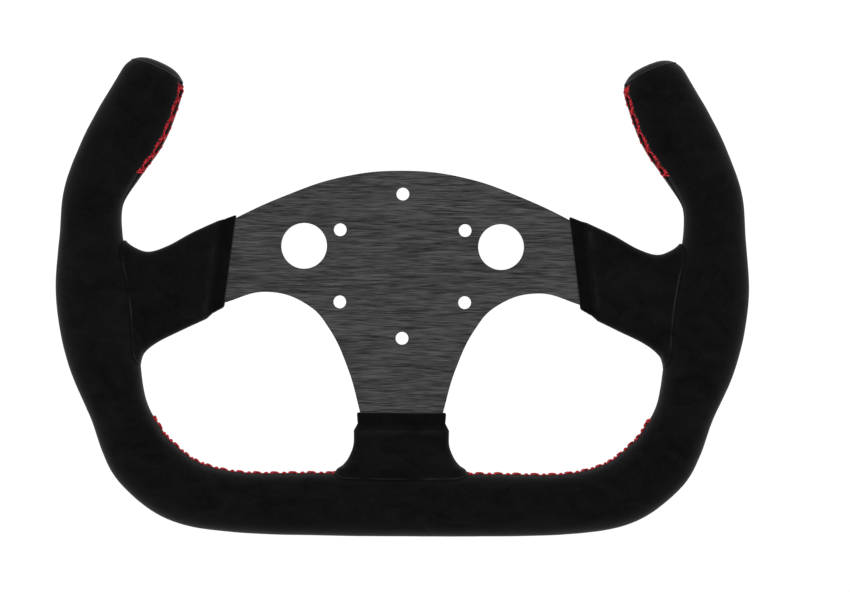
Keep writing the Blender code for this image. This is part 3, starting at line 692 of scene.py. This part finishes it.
def sleeve_grid(pad, corner):
    """The sleeve's outer skin from its hem to its welt, in millimetres from the middle plane."""
    pad = np.array(pad)
    hem = [pad[0] + (pad[1] - pad[0]) * t for t in (0.0, 0.06, 0.16, 0.35, 0.6, 0.85, 1.0)]
    rows = [pad_ring(row, inset) for row, inset in zip(hem, (0.45, 0.1, 0.0, 0.0, 0.0, 0.0, 0.05))]
    for t in (0.12, 0.3, 0.5, 0.7, 0.88):
        ease = t * t * (3 - 2 * t)
        rows.append(pad_ring(pad[1] + (pad[2] - pad[1]) * np.array([t] * 4 + [ease] * 3)))
    body = np.array([pad_ring(row) for row in smooth_line(pad[2:], BODY_STEP)])
    depth = rim_depth(body.reshape(-1, 3))[0].reshape(body.shape[:2])
    steps, shares = np.arange(len(body)), np.linspace(0, 1, DRAWN_ROWS)
    drawn = np.empty((DRAWN_ROWS, body.shape[1], 3))
    for column in range(body.shape[1]):
        inside = np.argmax(depth[:, column] < SEWN_IN)
        d0, d1 = depth[inside - 1, column], depth[inside, column]
        last = inside - 1 + (d0 - SEWN_IN) / (d0 - d1)
        wanted = (1 - (1 - shares) ** DRAWN_EASE) * last
        for axis in range(3):
            drawn[:, column, axis] = np.interp(wanted, steps, body[:, column, axis])
    normal = outward_normals(drawn)
    drawn = faired(drawn, normal, corner)
    left = np.linalg.norm(np.diff(drawn, axis=0), axis=2)
    to_welt = np.concatenate([np.cumsum(left[::-1], axis=0)[::-1], np.zeros((1, body.shape[1]))])
    out = rim_depth(drawn.reshape(-1, 3))[1].reshape(drawn.shape)
    share = np.clip(1 - to_welt / 4, 0, 1)[:, :, None]
    way = normal * (1 - share) + out * share
    patchy = np.clip([0.5 + 1.5 * ripple(p * MM, 9, 3.0) for p in drawn[-1]], 0.0, 1.0)
    facing = 0.2 + 0.8 * np.abs(out[-1, :, 1])
    welt = swell(to_welt, 1.0, 0.5, 0.32)
    lift = (swell(to_welt, 0.14, 0.0, 1.8) + (0.12 + 0.22 * patchy) * welt) * facing
    drawn = drawn + way / np.linalg.norm(way, axis=2, keepdims=True) * lift[:, :, None]
    tucked = drawn[-1:] - out[-1:] * 1.6
    inner = [pad_ring(hem[-1], SKIN_T), pad_ring(hem[0], SKIN_T)]
    grid = np.concatenate([inner, rows, drawn, tucked])
    rubbed, pressed = np.zeros(grid.shape[:2]), np.zeros(grid.shape[:2])
    top = len(inner) + len(rows)
    # Painted highlight: a broken lighter line along the welt, strongest where the surface faces the
    # driver.
    rubbed[top:-1] = welt * patchy * facing
    # Painted shade: the hem and the first stretch past it are coloured darker, fading out towards the
    # body.
    pressed[:top] = np.interp(np.arange(top), [0, 8, 11, top], [0.4, 0.4, 0.2, 0])[:, None]
    past_hem = np.concatenate([np.zeros((1, grid.shape[1])), np.cumsum(left, axis=0)])
    # Painted highlight: a soft lighter band where the body starts to widen past the hem.
    crease_highlight = np.array([[0.5 + ripple(p * MM, 6, 5.0) for p in row] for row in drawn])
    rubbed[top:-1] += crease_highlight * swell(past_hem, 0.16, 0.0, 2.2)
    return grid, rubbed, pressed


def to_metres(grid):
    """Points in millimetres from the middle plane, in the frame's metres."""
    return grid * MM + np.array([0, MID_Y, 0])


PADS = {
    "right": SIDE_PAD,
    "left": [(-hx, hz, -lx, lz, *rest) for lx, lz, hx, hz, *rest in SIDE_PAD],
    "bottom": BOTTOM_PAD,
}
sleeve_skins = {}
for side, pad in PADS.items():
    grid, rubbed, pressed = sleeve_grid(pad, CORNERS[side])
    grid = to_metres(grid)
    sleeve_skins[side] = grid
    sleeve = skin("suede_sleeve_" + side, uneven(grid, 0.16, 12), rubbed=rubbed, pressed=pressed)
    sleeve.data.materials.append(black_suede)
    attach(sleeve, "root")
    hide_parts("spoke_sleeve_" + side)


# --- Red lacing --------------------------------------------------------------------------------
# Waxed red thread of two twisted plies, worked through both folded edges: a bar along each edge,
# then a cross over the groove, with the return threads low inside it, and a tight cross at each end.

PITCH = 9.2
EDGE_SPAN = 2.6
PLY_R, PLY_OFF, PLY_TWIST = 0.22, 0.19, 3.4
NEEDLE_DEPTH = 0.45
# The share of a pitch that is bars, and how high the threads stand off the suede
BAR_SHARE, BAR_TOP = 0.4, 0.6
CROSS_TOPS = 0.4, 0.85
RETURN_SPAN, RETURN_TOP = 0.9, -0.6
KNOT_LEAN, KNOT_IN, KNOT_TOPS = 1.2, 0.6, (0.55, 1.0)


def waxed_thread(name, dark, light):
    """Polyester thread: fine fibres along it, a little wax shine."""
    thread = Finish(name, Roughness=0.6)
    thread.shader.inputs["Specular IOR Level"].default_value = 0.22
    fibre = thread.grain(0.18, detail=3.0, rough=0.6)
    worn = thread.ramp(fibre * 0.6 + thread.grain(4.0) * 0.4, 0.35, 0.62)
    thread.feed(Base_Color=thread.mix(worn, dark, light), Roughness=0.5 + fibre * 0.25)
    thread.bump(fibre, 0.06, 0.6)
    return thread.material


red_thread = waxed_thread("waxed_red_thread", (0.13, 0.001, 0.002), (0.62, 0.018, 0.032))


def add_ply(curve, points):
    """One ply as a line of points."""
    spline = curve.splines.new("POLY")
    spline.points.add(len(points) - 1)
    for knot, point in zip(spline.points, points):
        knot.co = (*point, 1)


def lay_thread(curve, surface, start, stop, top, count=13):
    """Two plies twisted round a path from one needle hole to the next, its ends pulled down."""
    steps = np.linspace(0, 1, count)
    rise = np.abs(2 * steps - 1) ** 5
    lifts = top * (1 - rise) - NEEDLE_DEPTH * rise
    path, above = [], []
    for t, lift in zip(steps, lifts):
        place, span = (a + (b - a) * t for a, b in zip(start, stop))
        low, high = surface(place, np.array([span, span]), np.array([lift, lift + 1]))
        path.append(low)
        above.append((high - low) / np.linalg.norm(high - low))
    path, above = np.array(path), np.array(above)
    onward = np.gradient(path, axis=0)
    aside = np.cross(onward, above)
    aside /= np.linalg.norm(aside, axis=1)[:, None]
    run = np.concatenate([[0], np.cumsum(np.linalg.norm(np.diff(path, axis=0), axis=1))]) / MM
    for ply in (0, math.pi):
        turn = (2 * math.pi * run / PLY_TWIST + ply)[:, None]
        add_ply(curve, path + (above * np.cos(turn) + aside * np.sin(turn)) * PLY_OFF * MM)


def thread_curve(name, material):
    """An empty piece of round plies, ready for its stitches."""
    curve = bpy.data.curves.new(name, "CURVE")
    curve.dimensions = "3D"
    curve.bevel_depth, curve.bevel_resolution = PLY_R * MM, 1
    curve.use_fill_caps = True
    curve.materials.append(material)
    piece = bpy.data.objects.new(name, curve)
    bpy.context.scene.collection.objects.link(piece)
    return piece


def lace(curve, surface, first, last, span):
    """A run of bars and crosses, with a tight cross at both ends."""
    crosses = max(1, round((last - first) / PITCH))
    pitch = (last - first) / crosses
    bar, cross, knot = span + 0.1, span + 0.3, span + 0.55
    for k in range(crosses):
        begin = first + k * pitch
        middle, end = begin + pitch * BAR_SHARE, begin + pitch
        for side in (RETURN_SPAN, -RETURN_SPAN):
            lay_thread(curve, surface, (begin, side), (end, -side), RETURN_TOP)
        for side in (bar, -bar):
            lay_thread(curve, surface, (begin + 0.8, side), (middle - 0.4, side), BAR_TOP)
        for side, top in zip((cross, -cross), CROSS_TOPS):
            lay_thread(curve, surface, (middle + 0.1, side), (end - 0.1, -side), top)
    for end, inward in ((first, 1), (last, -1)):
        for lean, top in zip((-KNOT_LEAN, KNOT_LEAN), KNOT_TOPS):
            place = end + inward * KNOT_IN
            lay_thread(curve, surface, (place - lean, -knot), (place + lean, knot), top, 9)


low_left = (rim.z < LOWER_Z) & (rim.x < 0)
low_x = -LOWER_LACE_X[1], -LOWER_LACE_X[0]
low_first, low_last = np.interp(low_x, rim.x[low_left], rim.place[low_left])
LACE_INSET = 0.6
RUNS = {
    "horn_left": HORN_LACE,
    "lower_left": (low_first, low_last),
    "lower_right": (rim.length - low_last, rim.length - low_first),
    "horn_right": (rim.length - HORN_LACE[1], rim.length - HORN_LACE[0]),
}
for run_name, (first, last) in RUNS.items():
    lacing = thread_curve("red_lacing_" + run_name, red_thread)
    lace(lacing.data, on_rim, first + LACE_INSET, last - LACE_INSET, EDGE_SPAN)
    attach(lacing, "root")
    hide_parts("lacing_" + run_name)


# --- Back seams --------------------------------------------------------------------------------
# Each sleeve is pulled round its spoke and closed behind it, out of the driver's sight, with the
# same stitch in black thread along a tight seam.

black_thread = waxed_thread("waxed_black_thread", (0.008, 0.008, 0.008), (0.03, 0.03, 0.032))
BACK_SPAN, BACK_INSET, BACK_STOP, BACK_LIFT = 1.1, 1.5, 3.0, 0.35
# The column in the middle of the back face, after three corners, the front face and the lower edge
BACK_MIDDLE = 3 * len(CORNER_TURNS) + len(FACE_STEPS) + len(EDGE_STEPS)
BACK_MIDDLE += BACK_FACE_STEPS + len(BACK_SPANS) // 2


def back_surface(grid):
    """Points off a sleeve's back, by distance from its hem and span from its seam."""
    column = grid[3:-1, BACK_MIDDLE]
    beside = grid[3:-1, BACK_MIDDLE + 6] - grid[3:-1, BACK_MIDDLE - 6]
    beside /= np.linalg.norm(beside, axis=1)[:, None]
    onward = np.gradient(column, axis=0)
    out = np.cross(onward, beside)
    out /= np.linalg.norm(out, axis=1)[:, None]
    out *= np.sign(out[:, 1].mean())
    run = np.concatenate([[0], np.cumsum(np.linalg.norm(np.diff(column, axis=0), axis=1))]) / MM

    def surface(place, spans, lifts):
        found = [[np.interp(place, run, v) for v in rows.T] for rows in (column, beside, out)]
        middle, side, up = np.array(found)
        return middle + (side * spans[:, None] + up * (lifts[:, None] + BACK_LIFT)) * MM

    return surface, run[-1]


for side, grid in sleeve_skins.items():
    surface, reach = back_surface(grid)
    seam = thread_curve("black_seam_" + side, black_thread)
    lace(seam.data, surface, BACK_INSET, reach - BACK_STOP, BACK_SPAN)
    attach(seam, "root")
    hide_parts("back_seam_" + side)


# --- Studio ------------------------------------------------------------------------------------
# A pale floor, an even white surround and three large soft lamps, seen from the driver's seat by
# a long lens square to the plate.

VIEW_W = 412.85
LENS, SENSOR = 150.0, 36.0
EYE_X, EYE_Z = 11.03, -14.4
VIEW_ROLL = math.radians(-0.36)
FLOOR_Z, FLOOR_REACH = -0.42, 6
SURROUND = 1.06
# Power in watts, size and place in metres
LAMPS = {
    "key": (9, 1.1, (-0.7, -1.3, 1.2)),
    "fill": (5, 1.4, (0.9, -1.4, 0.6)),
    "rear": (6, 1.2, (0.4, 1.4, 1.1)),
}

pale = Finish("pale_floor", Roughness=0.9)
grain = pale.grain(40.0, detail=2.0)
pale.feed(Base_Color=pale.mix(grain, (0.94, 0.94, 0.94), (0.97, 0.97, 0.97)))
floor_mesh = bpy.data.meshes.new("floor")
corners = [(x * FLOOR_REACH, y * FLOOR_REACH, FLOOR_Z) for x, y in ((-1, -1), (1, -1), (1, 1), (-1, 1))]
floor_mesh.from_pydata(corners, [], [(0, 1, 2, 3)])
floor = bpy.data.objects.new("floor", floor_mesh)
floor_mesh.materials.append(pale.material)
bpy.context.scene.collection.objects.link(floor)

world = bpy.data.worlds.new("surround")
bpy.context.scene.world = world
world.use_nodes = True
background = world.node_tree.nodes["Background"]
background.inputs["Color"].default_value = (1, 1, 1, 1)
background.inputs["Strength"].default_value = SURROUND
bpy.context.scene.view_settings.view_transform = "Standard"

for name, (power, size, where) in LAMPS.items():
    lamp = bpy.data.lights.new(name, "AREA")
    lamp.energy, lamp.size = power, size
    holder = bpy.data.objects.new(name, lamp)
    holder.location = where
    holder.rotation_euler = (-Vector(where)).to_track_quat("-Z", "Y").to_euler()
    bpy.context.scene.collection.objects.link(holder)

lens = bpy.data.cameras.new("driver_view")
lens.lens, lens.sensor_width = LENS, SENSOR
camera = bpy.data.objects.new("driver_view", lens)
away = VIEW_W * LENS / SENSOR
camera.location = (EYE_X * MM, MID_Y - away * MM, EYE_Z * MM)
camera.rotation_euler = (math.pi / 2, VIEW_ROLL, 0)
bpy.context.scene.collection.objects.link(camera)
bpy.context.scene.camera = camera
